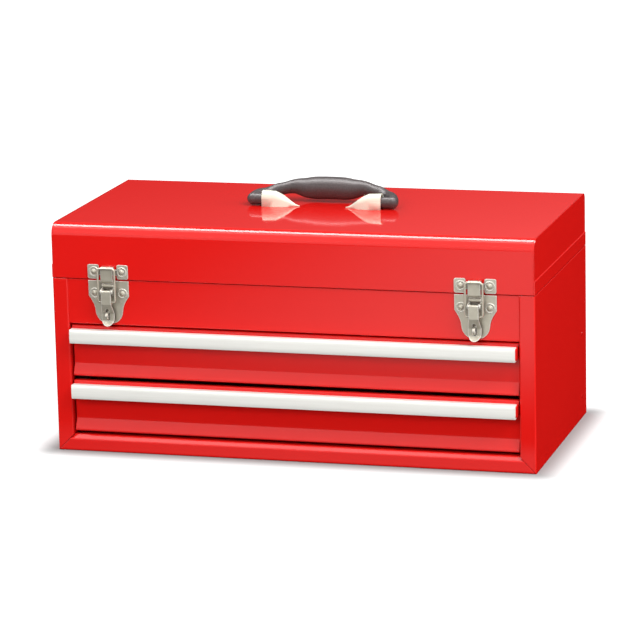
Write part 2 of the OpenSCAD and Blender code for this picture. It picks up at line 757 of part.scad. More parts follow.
// Latch base: shaped plate with two pivot lugs, a cross rib and a padlock staple
base_steps = 6;
base_toe = latch_gap + base_l;
base_shoulder = [latch_w / 2, -17];
shoulder_pull = [4.2, 6]; // handles of the outline's curves
waist_pull = [0.4, 6];
heel_pull = [4, 2];
base_waist = [14.8, -33];
base_heel = [7, 1.6 - base_toe];
base_side = concat(
    [[latch_w / 2, -latch_gap]],
    [for (k = [0 : base_steps])
        bezier3(base_shoulder, base_shoulder - shoulder_pull, base_waist + waist_pull, base_waist,
                k / base_steps)],
    [for (k = [1 : base_steps])
        bezier3(base_waist, base_waist - waist_pull, base_heel + heel_pull, base_heel, k / base_steps)],
    [[0, -base_toe]]
);
module latch_base() {
    difference() {
        union() {
            along_y(-plate_t, 0) polygon(mirrored(base_side));
            rivet_rims(-plate_t, -base_rivet_drop);
            difference() {
                rod_x(-rib_l / 2, rib_l / 2, -plate_t, -rib_drop, rib_r);
                block([-rib_l, -plate_t / 2, -2 * rib_drop], [rib_l, rib_r, 0]);
            }
            for (x = [-lug_in - lug_w, lug_in]) along_x(x, x + lug_w) {
                translate([-pivot_out, -pivot_drop]) circle(lug_r);
                polygon([[-plate_t / 2, lug_r + plate_t - pivot_drop], [-pivot_out, lug_r - pivot_drop],
                         [-pivot_out, -lug_r - pivot_drop], [-plate_t / 2, -lug_r - plate_t - pivot_drop]]);
            }
            along_x(-staple_t / 2, staple_t / 2) {
                translate([-staple_out, -staple_drop]) circle(staple_r);
                translate([-staple_out, -staple_drop - staple_r])
                    square([staple_out - plate_t / 2, 2 * staple_r]);
            }
        }
        rivet_holes(0, -base_rivet_drop);
        rod_x(-latch_w / 2, latch_w / 2, -pivot_out, -pivot_drop, lever_pin_r + pin_fit);
        rod_x(-staple_t, staple_t, -staple_out, -staple_drop, staple_hole_r);
    }
}
module left_latch_base() { color(nickel) at_latch(-1) latch_base(); }
module right_latch_base() { color(nickel) at_latch(1) latch_base(); }
module lever_pins() {
    end = lug_in + lug_w + pin_fit;
    color(nickel) at_latches() {
        rod_x(-end, end, -pivot_out, -pivot_drop, lever_pin_r);
        for (x = [-end - pin_head_t, end]) rod_x(x, x + pin_head_t, -pivot_out, -pivot_drop, pin_head_r);
    }
}

// Latch lever: pressed channel that ends in a slotted paddle with an upturned toe
lever_steps = 8;
lever_roll = 3.4; // depth of the rolled upper edge
toe_round = 9; // height over which the paddle's sides round into the toe
lever_side = concat(
    [[lever_w / 2, -lever_drop], [lever_w / 2, -knee_drop], [paddle_w / 2, -paddle_drop]],
    [for (k = [0 : lever_steps])
        bezier3([paddle_w / 2, toe_round - toe_drop], [paddle_w / 2, toe_round / 3 - toe_drop],
                [paddle_w / 4, -toe_drop], [0, -toe_drop], k / lever_steps)]
);
module latch_lever() {
    plate_in = plate_t / 2 - lever_out;
    difference() {
        union() {
            intersection() {
                along_x(-paddle_w / 2, paddle_w / 2)
                    folded([[lever_roll - lever_out, -lever_drop], [-lever_out, -lever_drop],
                            [-lever_out, -knee_drop], [-paddle_out, -paddle_drop],
                            [-paddle_out, toe_h - toe_drop], [-toe_out, -toe_drop]], plate_t);
                along_y(-lever_out - cut, 0) polygon(mirrored(lever_side));
            }
            for (x = [-lever_w / 2, lever_w / 2 - plate_t]) along_x(x, x + plate_t) {
                translate([-pivot_out, -pivot_drop]) circle(lever_ear_r);
                translate([-bail_out, -bail_drop]) circle(bail_ear_r);
                polygon([[plate_in, -lever_drop - bend], [-pivot_out, lever_ear_r - pivot_drop],
                         [lever_ear_r - pivot_out, -pivot_drop], [bail_ear_r - bail_out, -bail_drop],
                         [-bail_out, -bail_ear_r - bail_drop], [plate_in, bend - knee_drop]]);
            }
        }
        rod_x(-paddle_w, paddle_w, -pivot_out, -pivot_drop, lever_pin_r + pin_fit);
        rod_x(-paddle_w, paddle_w, -bail_out, -bail_drop, wire_r + pin_fit);
        along_y(-lever_out, 0) link(-slot_drop - slot_w / 2, slot_w / 2 - slot_end, slot_w / 2);
    }
}
module left_latch_lever() { color(nickel) at_latch(-1) latch_lever(); }
module right_latch_lever() { color(nickel) at_latch(1) latch_lever(); }

// Latch bail: bent wire whose ends turn in the lever
module wire_bend(r, start) {
    rotate([90, 0, 0]) rotate([0, 0, start]) rotate_extrude(angle = 90) translate([r, 0]) circle(wire_r);
}
module latch_bail() {
    pin_past = 0.8; // how far a wire end reaches past the lever's cheek
    pin_in = lever_w / 2 - plate_t - pin_past;
    top_x = bail_x - corner_r;
    foot_x = bail_x - foot_r;
    translate([0, -bail_out, 0]) {
        rod_x(-top_x, top_x, 0, bar_up, wire_r);
        for (side = [0, 1]) mirror([side, 0, 0]) {
            translate([top_x, 0, bar_up - corner_r]) wire_bend(corner_r, 0);
            translate([bail_x, 0, foot_r - bail_drop])
                cylinder(r = wire_r, h = bar_up - corner_r - foot_r + bail_drop);
            translate([foot_x, 0, foot_r - bail_drop]) wire_bend(foot_r, -90);
            rod_x(pin_in, foot_x, 0, -bail_drop, wire_r);
        }
    }
}
module left_latch_bail() { color(nickel) at_latch(-1) latch_bail(); }
module right_latch_bail() { color(nickel) at_latch(1) latch_bail(); }

// Keeper on the lid: two ears joined by a strip, with a tongue in front of it
module rounded_plate(w, h, r) {
    for (x = [r, w - r], z = [r, h - r]) translate([x, z]) circle(r);
    translate([r, 0]) square([w - 2 * r, h]);
    translate([0, r]) square([w, h - 2 * r]);
}
module keeper() {
    ear_r = 2;
    strip_up = 4;
    strip_h = 6;
    strip_low = latch_gap + strip_up;
    strip_top = strip_low + strip_h;
    tongue_y = -sheet - tongue_out;
    tongue_over = 1; // how far the tongue stands over the bail's bar
    tongue_top = bar_up + tongue_over;
    tongue_lip = 2;
    difference() {
        union() {
            rivet_rims(-lid_out, keeper_rivet_up);
            along_y(-lid_out, -sheet) {
                for (x = [-latch_w / 2, latch_w / 2 - ear_w])
                    translate([x, latch_gap]) rounded_plate(ear_w, keeper_h, ear_r);
                translate([ear_w / 2 - latch_w / 2, strip_low])
                    square([latch_w - ear_w, strip_top - strip_low]);
                translate([-tongue_w / 2, strip_low]) square([tongue_w, tongue_top - strip_low]);
            }
        }
        rivet_holes(-sheet, keeper_rivet_up);
    }
    along_x(-tongue_w / 2, tongue_w / 2)
        folded([[-sheet - plate_t / 2, tongue_top], [tongue_y, tongue_top],
                [tongue_y, tongue_lip - tongue_drop], [tongue_y + tongue_lip, -tongue_drop]], plate_t);
}
module left_keeper() { color(nickel) at_latch(-1) keeper(); }
module right_keeper() { color(nickel) at_latch(1) keeper(); }

left_side_panel();
right_side_panel();
bottom_panel();
back_panel();
till_front_panel();
till_floor();
upper_left_rail();
upper_right_rail();
lower_left_rail();
lower_right_rail();
hinge_lower_leaf();
hinge_pin();
left_latch_base();
right_latch_base();
latch_base_rivets();
lever_pins();
stay_body_studs();
lid_wrap();
lid_left_end();
lid_right_end();
hinge_upper_leaf();
left_keeper();
right_keeper();
keeper_rivets();
left_handle_hood();
right_handle_hood();
stay_lid_studs();
handle_grip();
handle_pivot_pins();
upper_drawer_tray();
upper_drawer_front();
upper_drawer_pull();
lower_drawer_tray();
lower_drawer_front();
lower_drawer_pull();
left_latch_lever();
right_latch_lever();
left_latch_bail();
right_latch_bail();
left_lid_stay();
right_lid_stay();
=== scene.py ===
# %% [markdown]
# A two-drawer steel tool chest, dressed in Blender around a finished CAD frame.
# The frame already has every panel, drawer, latch and hinge in its place and at its size.
# This lesson gives those parts their finishes, shapes the handle more finely,
# adds the weld marks that the sheet-metal shop leaves behind,
# and lights the chest like a catalogue picture.

# %% Load the frame
import json
import math

import bmesh
import bpy
from mathutils import Matrix, Vector


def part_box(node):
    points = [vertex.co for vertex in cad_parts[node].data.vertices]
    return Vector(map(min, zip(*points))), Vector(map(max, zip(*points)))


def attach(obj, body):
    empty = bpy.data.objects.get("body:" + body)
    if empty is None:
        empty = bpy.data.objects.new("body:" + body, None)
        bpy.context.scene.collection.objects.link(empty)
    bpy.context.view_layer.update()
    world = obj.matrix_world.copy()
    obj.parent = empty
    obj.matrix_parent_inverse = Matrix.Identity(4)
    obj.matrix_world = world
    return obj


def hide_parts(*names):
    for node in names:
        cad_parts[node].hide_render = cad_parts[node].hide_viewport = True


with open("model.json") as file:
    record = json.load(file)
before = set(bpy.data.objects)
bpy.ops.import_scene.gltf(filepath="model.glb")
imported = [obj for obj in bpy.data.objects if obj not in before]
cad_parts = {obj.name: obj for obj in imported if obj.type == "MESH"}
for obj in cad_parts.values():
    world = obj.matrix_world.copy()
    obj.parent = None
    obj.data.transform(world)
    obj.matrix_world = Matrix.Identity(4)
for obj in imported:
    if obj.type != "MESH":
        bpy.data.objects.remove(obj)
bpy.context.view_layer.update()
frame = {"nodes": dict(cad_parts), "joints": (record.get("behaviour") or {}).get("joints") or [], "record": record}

MM = 0.001
nodes = frame["nodes"]

# %% [markdown]
# Every finish is a small tree of nodes around one Principled shader.
# The helper below makes the shader and sets the numbers that are the same all over the surface
# on the shader's own sockets. Patterns are joined on afterwards, from Object coordinates,
# so that they stay put on the metal when the camera or a drawer moves.

# %% A helper that starts a finish
def start_finish(name, **sockets):
    finish = bpy.data.materials.new(name)
    finish.use_nodes = True
    tree = finish.node_tree
    shader = tree.nodes["Principled BSDF"]
    for socket, value in sockets.items():
        shader.inputs[socket.replace("_", " ")].default_value = value
    place = tree.nodes.new("ShaderNodeTexCoord")
    return finish, tree, shader, place.outputs["Object"]


print("helper:", start_finish.__name__)

# %% [markdown]
# Paint and plate are never quite even, and a noise texture is the plainest way to say so.
# Its factor runs from 0 to 1, so a Map Range node stretches it to the numbers that a socket needs.
# Small sums between such factors take Math nodes, made here by one short function.

# %% Helpers for patterns
def add_noise(tree, place, scale, detail=2.0, stretch=(1.0, 1.0, 1.0)):
    mapping = tree.nodes.new("ShaderNodeMapping")
    mapping.inputs["Scale"].default_value = stretch
    noise = tree.nodes.new("ShaderNodeTexNoise")
    noise.inputs["Scale"].default_value = scale
    noise.inputs["Detail"].default_value = detail
    tree.links.new(place, mapping.inputs["Vector"])
    tree.links.new(mapping.outputs["Vector"], noise.inputs["Vector"])
    return noise.outputs["Fac"]


def add_spread(tree, factor, low, high):
    spread = tree.nodes.new("ShaderNodeMapRange")
    spread.inputs["To Min"].default_value = low
    spread.inputs["To Max"].default_value = high
    tree.links.new(factor, spread.inputs["Value"])
    return spread.outputs["Result"]


def add_ramp(tree, value, start, end, low, high):
    ramp = tree.nodes.new("ShaderNodeMapRange")
    ramp.interpolation_type = "SMOOTHSTEP"
    ramp.inputs["From Min"].default_value = start
    ramp.inputs["From Max"].default_value = end
    ramp.inputs["To Min"].default_value = low
    ramp.inputs["To Max"].default_value = high
    tree.links.new(value, ramp.inputs["Value"])
    return ramp.outputs["Result"]


def add_math(tree, operation, *terms):
    step = tree.nodes.new("ShaderNodeMath")
    step.operation = operation
    for socket, term in zip(step.inputs, terms):
        if isinstance(term, float):
            socket.default_value = term
        else:
            tree.links.new(term, socket)
    return step.outputs[0]


print("helpers:", add_noise.__name__, add_spread.__name__, add_ramp.__name__, add_math.__name__)

# %% [markdown]
# Colour is laid on as a painter does it: two tones mixed by a pattern, then further layers over them.
# Each function joins its result to the target socket, so the last layer that is added is the one that shows.

# %% Helpers for colour
def add_two_tone(tree, factor, first, second, target):
    mix = tree.nodes.new("ShaderNodeMix")
    mix.data_type = "RGBA"
    mix.inputs["A"].default_value = (*first, 1.0)
    mix.inputs["B"].default_value = (*second, 1.0)
    tree.links.new(factor, mix.inputs["Factor"])
    tree.links.new(mix.outputs["Result"], target)
    return mix.outputs["Result"]


def add_layer(tree, under, factor, tone, target):
    mix = tree.nodes.new("ShaderNodeMix")
    mix.data_type = "RGBA"
    mix.inputs["B"].default_value = (*tone, 1.0)
    tree.links.new(under, mix.inputs["A"])
    tree.links.new(factor, mix.inputs["Factor"])
    tree.links.new(mix.outputs["Result"], target)
    return mix.outputs["Result"]


print("helpers:", add_two_tone.__name__, add_layer.__name__)

# %% [markdown]
# Edges are coloured pale, a painted highlight where they would catch the light, and corners dark, as painted
# shade.
# A Bevel node finds the edges, because there its rounded normal turns away from the flat one,
# and an Ambient Occlusion node finds the corners. The same Bevel node, joined to the shader's normal,
# also rounds a sharp sheet edge where it catches the light.

# %% Helpers for edges, corners and grain
EDGE_SAMPLES, CORNER_SAMPLES, ROUNDING_SAMPLES = 8, 8, 6
EDGE_TURNED, EDGE_FLAT = 0.90, 0.995
CORNER_DEEP, CORNER_OPEN = 0.15, 0.95


# A mask for a painted highlight: it rises at edges, where the Bevel normal turns away from the flat one.
def add_edge_highlight(tree, radius, share):
    bevel = tree.nodes.new("ShaderNodeBevel")
    bevel.samples = EDGE_SAMPLES
    bevel.inputs["Radius"].default_value = radius
    flat = tree.nodes.new("ShaderNodeNewGeometry")
    turn = tree.nodes.new("ShaderNodeVectorMath")
    turn.operation = "DOT_PRODUCT"
    tree.links.new(bevel.outputs["Normal"], turn.inputs[0])
    tree.links.new(flat.outputs["Normal"], turn.inputs[1])
    return add_ramp(tree, turn.outputs["Value"], EDGE_TURNED, EDGE_FLAT, share, 0.0)


# A mask for painted shade: it rises where Ambient Occlusion finds the surface hemmed in.
def add_corner_shade(tree, reach, share):
    shade = tree.nodes.new("ShaderNodeAmbientOcclusion")
    shade.samples = CORNER_SAMPLES
    shade.inputs["Distance"].default_value = reach
    return add_ramp(tree, shade.outputs["AO"], CORNER_DEEP, CORNER_OPEN, share, 0.0)


def add_bump(tree, shader, factor, strength, depth, edge_radius=0.0):
    bump = tree.nodes.new("ShaderNodeBump")
    bump.inputs["Strength"].default_value = strength
    bump.inputs["Distance"].default_value = depth
    tree.links.new(factor, bump.inputs["Height"])
    tree.links.new(bump.outputs["Normal"], shader.inputs["Normal"])
    if edge_radius > 0.0:
        bevel = tree.nodes.new("ShaderNodeBevel")
        bevel.samples = ROUNDING_SAMPLES
        bevel.inputs["Radius"].default_value = edge_radius
        tree.links.new(bevel.outputs["Normal"], bump.inputs["Normal"])
        tree.links.new(bevel.outputs["Normal"], shader.inputs["Coat Normal"])


print("helpers:", add_edge_highlight.__name__, add_corner_shade.__name__, add_bump.__name__)

# %% [markdown]
# The panels are folded first and baked in red enamel afterwards, so the colour runs over every edge.
# Baked enamel is a coloured layer under a clear skin: the base is rough and the coat does the mirroring.
# A slow noise tints the colour a little, and a fine one gives the faint orange peel of sprayed paint.

# %% Red enamel
ENAMEL_RED = (0.74, 0.0112, 0.0080)
ENAMEL_DEEP = (0.71, 0.0095, 0.0080)
SHEET_EDGE = 1.1 * MM
red_enamel, tree, shader, place = start_finish(
    "red_enamel", Roughness=0.5, Specular_IOR_Level=0.0,
    Coat_Weight=1.0, Coat_Roughness=0.05, Coat_IOR=1.5)
drift = add_noise(tree, place, scale=7.0)
add_two_tone(tree, drift, ENAMEL_DEEP, ENAMEL_RED, shader.inputs["Base Color"])
peel = add_noise(tree, place, scale=420.0, detail=1.0)
add_bump(tree, shader, peel, strength=0.05, depth=0.2 * MM, edge_radius=SHEET_EDGE)
print("finish:", red_enamel.name)

# %% [markdown]
# The latches are pressed from thin steel and plated with nickel, which looks a little warm beside chrome.
# Tumbling before plating leaves the metal faintly cloudy, so a noise moves the roughness.
# Over the plate go two painted layers: a pale painted highlight along the pressed edges,
# and dark painted shade in the corners, where the lever and the rivets hem the plate in.

# %% Nickel plate for the latches
NICKEL_WARM = (0.52, 0.48, 0.38)
NICKEL_PALE = (0.68, 0.64, 0.53)
NICKEL_EDGE_HIGHLIGHT = (0.95, 0.93, 0.86)
NICKEL_CORNER_SHADE = (0.10, 0.07, 0.05)
PRESSED_EDGE = 0.9 * MM
EDGE_HIGHLIGHT_WIDTH = 1.5 * MM
CORNER_SHADE_REACH = 7.0 * MM
nickel_plate, tree, shader, place = start_finish("nickel_plate", Metallic=0.6)
cloud = add_noise(tree, place, scale=160.0, detail=3.0)
tone = add_two_tone(tree, cloud, NICKEL_WARM, NICKEL_PALE, shader.inputs["Base Color"])
# Painted shade darkens the plate in its corners.
corners = add_corner_shade(tree, CORNER_SHADE_REACH, share=0.95)
tone = add_layer(tree, tone, corners, NICKEL_CORNER_SHADE, shader.inputs["Base Color"])
# A painted highlight pales the plate along its pressed edges.
edges = add_edge_highlight(tree, EDGE_HIGHLIGHT_WIDTH, share=1.0)
add_layer(tree, tone, edges, NICKEL_EDGE_HIGHLIGHT, shader.inputs["Base Color"])
tree.links.new(add_spread(tree, cloud, 0.32, 0.46), shader.inputs["Roughness"])
add_bump(tree, shader, cloud, strength=0.10, depth=0.3 * MM, edge_radius=PRESSED_EDGE)
print("finish:", nickel_plate.name)

# %% [markdown]
# The handle hoods look almost like cream paint: their plate is pale and satin, and mirrors next to nothing.
# So the shader is hardly metallic, and a cloudy noise moves its colour and its roughness together.

# %% Pale plate for the handle hoods
HOOD_CREAM = (0.62, 0.63, 0.51)
HOOD_PALE = (0.70, 0.71, 0.59)
hood_plate, tree, shader, place = start_finish("hood_plate", Metallic=0.05, Specular_IOR_Level=0.3)
cloud = add_noise(tree, place, scale=90.0, detail=3.0)
add_two_tone(tree, cloud, HOOD_CREAM, HOOD_PALE, shader.inputs["Base Color"])
tree.links.new(add_spread(tree, cloud, 0.44, 0.56), shader.inputs["Roughness"])
add_bump(tree, shader, cloud, strength=0.08, depth=0.3 * MM)
print("finish:", hood_plate.name)

# %% [markdown]
# Rails, stays and the piano hinge are bright zinc: duller than nickel, with a soft flower of crystals.
# A Voronoi texture has just that look, one grey to each cell.

# %% Zinc plate for the hinge, the stays and the rails
ZINC_DARK = (0.34, 0.35, 0.36)
ZINC_LIGHT = (0.46, 0.47, 0.49)
zinc_plate, tree, shader, place = start_finish("zinc_plate", Metallic=0.5, Roughness=0.5)
crystal = tree.nodes.new("ShaderNodeTexVoronoi")
crystal.inputs["Scale"].default_value = 130.0
tree.links.new(place, crystal.inputs["Vector"])
add_two_tone(tree, crystal.outputs["Color"], ZINC_DARK, ZINC_LIGHT, shader.inputs["Base Color"])
print("finish:", zinc_plate.name)

# %% [markdown]
# The drawer pulls are aluminium extrusions with a satin brushing along their length.
# Stretching a noise along X draws those hairlines: the pattern hardly changes with X, and fast with Z.

# %% Brushed aluminium for the pulls
PULL_GREY = (0.84, 0.84, 0.79)
PULL_WHITE = (0.94, 0.94, 0.89)
HAIRLINE_STRETCH = (0.02, 1.0, 1.0)
pull_aluminium, tree, shader, place = start_finish("pull_aluminium", Metallic=0.2)
hairline = add_noise(tree, place, scale=900.0, detail=4.0, stretch=HAIRLINE_STRETCH)
add_two_tone(tree, hairline, PULL_GREY, PULL_WHITE, shader.inputs["Base Color"])
tree.links.new(add_spread(tree, hairline, 0.34, 0.48), shader.inputs["Roughness"])
add_bump(tree, shader, hairline, strength=0.06, depth=0.1 * MM)
print("finish:", pull_aluminium.name)

# %% [markdown]
# The grip is moulded in dark grey plastic, and its mould was grained so that a hand does not slip.
# A fine noise through a Bump node gives that grain, and a slow one keeps the grey from looking flat.

# %% Grained plastic for the grip
GRIP_DARK = (0.018, 0.013, 0.013)
GRIP_GREY = (0.080, 0.062, 0.062)
grip_plastic, tree, shader, place = start_finish("grip_plastic", Roughness=0.42, Specular_IOR_Level=0.5)
grain = add_noise(tree, place, scale=700.0, detail=2.0)
add_two_tone(tree, grain, GRIP_DARK, GRIP_GREY, shader.inputs["Base Color"])
add_bump(tree, shader, grain, strength=0.35, depth=0.4 * MM)
print("finish:", grip_plastic.name)

# %% [markdown]
# The record that came with the frame names a material slot for each piece.
# Giving every node the finish of its slot dresses the whole chest in one loop.

# %% Dress every CAD node
FINISHES = {"red_paint": red_enamel, "nickel_plate": nickel_plate, "hood_plate": hood_plate,
            "zinc_plate": zinc_plate, "pull_aluminium": pull_aluminium, "grip_plastic": grip_plastic}
slot_of = {sub["node"]: sub["material_slot"] for sub in frame["record"]["subparts"]}
for name, piece in nodes.items():
    piece.data.materials.clear()
    piece.data.materials.append(FINISHES[slot_of[name]])
print("dressed:", len(slot_of))

# %% [markdown]
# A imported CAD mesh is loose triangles, so a curved surface shows its facets.
# For the pressed hoods, a copy with its points merged can be shaded smooth.
# The press also draws the real hoods a little taller and gives them a longer nose than the plain solid has,
# so each point of the copy above the lid moves up and along by the same simple rule.
# The copy stands for the node, and the node stays hidden underneath for the physics.

# %% How a hood is drawn taller
LID_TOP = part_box("lid_wrap")[1].z
HOOD_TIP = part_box("right_handle_hood")[0].x
HOOD_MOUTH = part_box("right_handle_hood")[1].x
NOSE_PLAIN, NOSE_DRAWN = 21.0 * MM, 26.0 * MM
HOOD_TALLER = 1.15
NOSE_SLIMMER = 0.20
NOSE_SHOULDER = 28.0 * MM
LID_MARGIN = 0.01 * MM


def drawn_point(point):
    if point.z < LID_TOP - LID_MARGIN:
        return point
    along = abs(point.x) - HOOD_TIP
    whole = HOOD_MOUTH - HOOD_TIP
    if along < NOSE_PLAIN:
        along = along * NOSE_DRAWN / NOSE_PLAIN
    else:
        along = NOSE_DRAWN + (along - NOSE_PLAIN) * (whole - NOSE_DRAWN) / (whole - NOSE_PLAIN)
    slope = math.sin(math.pi * min(along / NOSE_SHOULDER, 1.0))
    height = (point.z - LID_TOP) * HOOD_TALLER * (1.0 - NOSE_SLIMMER * slope)
    return Vector((math.copysign(HOOD_TIP + along, point.x), point.y, LID_TOP + height))


print("nose:", NOSE_PLAIN, "drawn to", NOSE_DRAWN)

# %% Replace each hood
CREASE_DEG = 40.0
HOOD_MERGE = 0.001 * MM


def draw_hood(node):
    mesh = nodes[node].data.copy()
    bm = bmesh.new()
    bm.from_mesh(mesh)
    bmesh.ops.remove_doubles(bm, verts=bm.verts, dist=HOOD_MERGE)
    for corner in bm.verts:
        corner.co = drawn_point(corner.co)
    bm.to_mesh(mesh)
    bm.free()
    mesh.shade_smooth()
    mesh.set_sharp_from_angle(angle=math.radians(CREASE_DEG))
    hood = bpy.data.objects.new(node + "_drawn", mesh)
    bpy.context.scene.collection.objects.link(hood)
    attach(hood, "lid")
    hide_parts(node)
    print("hood:", node, len(mesh.polygons), "faces")


draw_hood("left_handle_hood")
draw_hood("right_handle_hood")

# %% [markdown]
# The grip is one moulded bow: slim where it turns down into the hoods,
# and swollen where the palm closes round it.
# Lofting rings by hand would do, but a sweep says it better: a path gives the bow,
# and the radius along the path gives the swelling. Geometry Nodes make that sweep,
# with the radius worked out from how far a point is from the middle and from the ends.

# %% A tree that sweeps a swelling rod along a path
ROD_SIDES = 40
ROD_MERGE = 0.01 * MM


def rod_tree():
    tree = bpy.data.node_groups.new("swelling_rod", "GeometryNodeTree")
    face = tree.interface
    face.new_socket("Geometry", in_out="INPUT", socket_type="NodeSocketGeometry")
    for name in ("Palm Radius", "Neck Radius", "Palm Starts", "Palm Ends", "Cap Length"):
        face.new_socket(name, in_out="INPUT", socket_type="NodeSocketFloat")
    face.new_socket("Plastic", in_out="INPUT", socket_type="NodeSocketMaterial")
    face.new_socket("Geometry", in_out="OUTPUT", socket_type="NodeSocketGeometry")
    start = tree.nodes.new("NodeGroupInput")
    join = tree.links.new
    spot = tree.nodes.new("GeometryNodeInputPosition")
    split = tree.nodes.new("ShaderNodeSeparateXYZ")
    join(spot.outputs["Position"], split.inputs["Vector"])
    swell = tree.nodes.new("ShaderNodeMapRange")
    swell.interpolation_type = "SMOOTHSTEP"
    join(add_math(tree, "ABSOLUTE", split.outputs["X"]), swell.inputs["Value"])
    for socket, name in (("From Min", "Palm Starts"), ("From Max", "Palm Ends"),
                         ("To Min", "Palm Radius"), ("To Max", "Neck Radius")):
        join(start.outputs[name], swell.inputs[socket])
    along = tree.nodes.new("GeometryNodeSplineParameter").outputs["Length"]
    whole = tree.nodes.new("GeometryNodeSplineLength").outputs["Length"]
    nearest = add_math(tree, "MINIMUM", along, add_math(tree, "SUBTRACT", whole, along))
    share = add_math(tree, "DIVIDE", nearest, start.outputs["Cap Length"])
    share = add_math(tree, "MINIMUM", share, 1.0)
    dome = add_math(tree, "MULTIPLY", share, add_math(tree, "SUBTRACT", 2.0, share))
    radius = add_math(tree, "MULTIPLY", swell.outputs["Result"], add_math(tree, "SQRT", dome))
    curve = tree.nodes.new("GeometryNodeMeshToCurve")
    ring = tree.nodes.new("GeometryNodeCurvePrimitiveCircle")
    ring.inputs["Resolution"].default_value = ROD_SIDES
    ring.inputs["Radius"].default_value = 1.0
    sweep = tree.nodes.new("GeometryNodeCurveToMesh")
    close = tree.nodes.new("GeometryNodeMergeByDistance")
    close.inputs["Distance"].default_value = ROD_MERGE
    plastic = tree.nodes.new("GeometryNodeSetMaterial")
    end = tree.nodes.new("NodeGroupOutput")
    join(start.outputs["Geometry"], curve.inputs["Mesh"])
    join(curve.outputs["Curve"], sweep.inputs["Curve"])
    join(ring.outputs["Curve"], sweep.inputs["Profile Curve"])
    join(radius, sweep.inputs["Scale"])
    join(sweep.outputs["Mesh"], close.inputs["Geometry"])
    join(close.outputs["Geometry"], plastic.inputs["Geometry"])
    join(start.outputs["Plastic"], plastic.inputs["Material"])
    join(plastic.outputs["Geometry"], end.inputs["Geometry"])
    return tree


rod = rod_tree()
print("tree:", rod.name, len(rod.nodes), "nodes")

# %% [markdown]
# A tree runs as a modifier on a bare mesh of points and edges.
# Its inputs are set by the sockets' identifiers, because two sockets may share a name.
# The evaluated result becomes a plain mesh, and the bare mesh's object with its modifier is thrown away.

# %% Run a tree and keep its mesh
def socket_id(tree, name):
    for item in tree.interface.items_tree:
        if item.name == name and item.in_out == "INPUT":
            return item.identifier


def run_tree(tree, name, points, edges, settings):
    mesh = bpy.data.meshes.new(name + "_path")
    mesh.from_pydata(points, edges, [])
    maker = bpy.data.objects.new(name + "_maker", mesh)
    bpy.context.scene.collection.objects.link(maker)
    step = maker.modifiers.new(tree.name, "NODES")
    step.node_group = tree
    for socket, value in settings.items():
        step[socket_id(tree, socket)] = value
    ready = maker.evaluated_get(bpy.context.evaluated_depsgraph_get())
    made = bpy.data.meshes.new_from_object(ready)
    bpy.data.objects.remove(maker)
    return made


print("helper:", run_tree.__name__)

# %% [markdown]
# The path of the bow is one cubic curve to each side, drawn flat and then tipped up to its place of rest.
# Its points crowd together at the ends, where the rod closes in a round cap.
# A straight stub at each side runs from the bow into its hood, and the handle turns on those.

# %% Sizes of the grip
PALM_RADIUS, NECK_RADIUS = 11.95 * MM, 6.4 * MM
PALM_STARTS, PALM_ENDS = 14.0 * MM, 50.0 * MM
STUB_RADIUS, STUB_CAP = 6.0 * MM, 1.0 * MM
STUB_STARTS = 23.0 * MM
GRIP_HALF, GRIP_REACH = 75.5 * MM, 33.0 * MM
GRIP_CLEAR = 2.5 * MM
# share of the half length, and how far the bow is raised there
BOW_LIFTS = [(0.0, 0.0), (0.30, -0.5 * MM), (0.50, 1.2 * MM),
             (0.70, -0.3 * MM), (0.86, -2.4 * MM), (1.0, 0.0)]
BOW = [(0.0, GRIP_REACH), (0.56 * GRIP_HALF, 1.03 * GRIP_REACH),
       (0.94 * GRIP_HALF, 0.9 * GRIP_REACH), (GRIP_HALF, 0.0)]
BOW_STEPS, TIP_STEPS, STUB_STEPS = 72, 12, 30
fold = next(joint for joint in frame["joints"] if joint["name"] == "handle_fold")
handle_axis = Vector(fold["pos_m"])
rest_tilt = math.asin((LID_TOP + GRIP_CLEAR + PALM_RADIUS - handle_axis.z) / GRIP_REACH)
print("grip tilt:", round(math.degrees(rest_tilt), 1), "degrees")

# %% The path of the bow
def tipped(sideways, reach):
    return handle_axis + Vector((sideways, reach * math.cos(rest_tilt), reach * math.sin(rest_tilt)))


def bow_lift(share):
    for (start, low), (stop, high) in zip(BOW_LIFTS, BOW_LIFTS[1:]):
        if share <= stop:
            ease = 0.5 - 0.5 * math.cos(math.pi * (share - start) / (stop - start))
            return low + (high - low) * ease
    return BOW_LIFTS[-1][1]


def bow_point(turn):
    t = abs(turn)
    weights = ((1 - t) ** 3, 3 * t * (1 - t) ** 2, 3 * t * t * (1 - t), t ** 3)
    sideways = sum(w * p[0] for w, p in zip(weights, BOW))
    reach = sum(w * p[1] for w, p in zip(weights, BOW))
    lift = Vector((0.0, 0.0, bow_lift(sideways / GRIP_HALF)))
    return tipped(math.copysign(sideways, turn), reach) + lift


bow_points = [bow_point(-math.cos(math.pi * k / BOW_STEPS)) for k in range(BOW_STEPS + 1)]
outward = (bow_points[-1] - bow_points[-2]).normalized()
tip_points = [bow_points[-1] + outward * NECK_RADIUS * math.sin(math.pi * k / (2 * TIP_STEPS))
              for k in range(1, TIP_STEPS + 1)]
mirrored_tips = [Vector((-p.x, p.y, p.z)) for p in reversed(tip_points)]
bow_points = mirrored_tips + bow_points + tip_points
print("bow:", len(bow_points), "points")

# %% Sweep the bow and its stubs into one grip
def chain(count):
    return [(k, k + 1) for k in range(count - 1)]


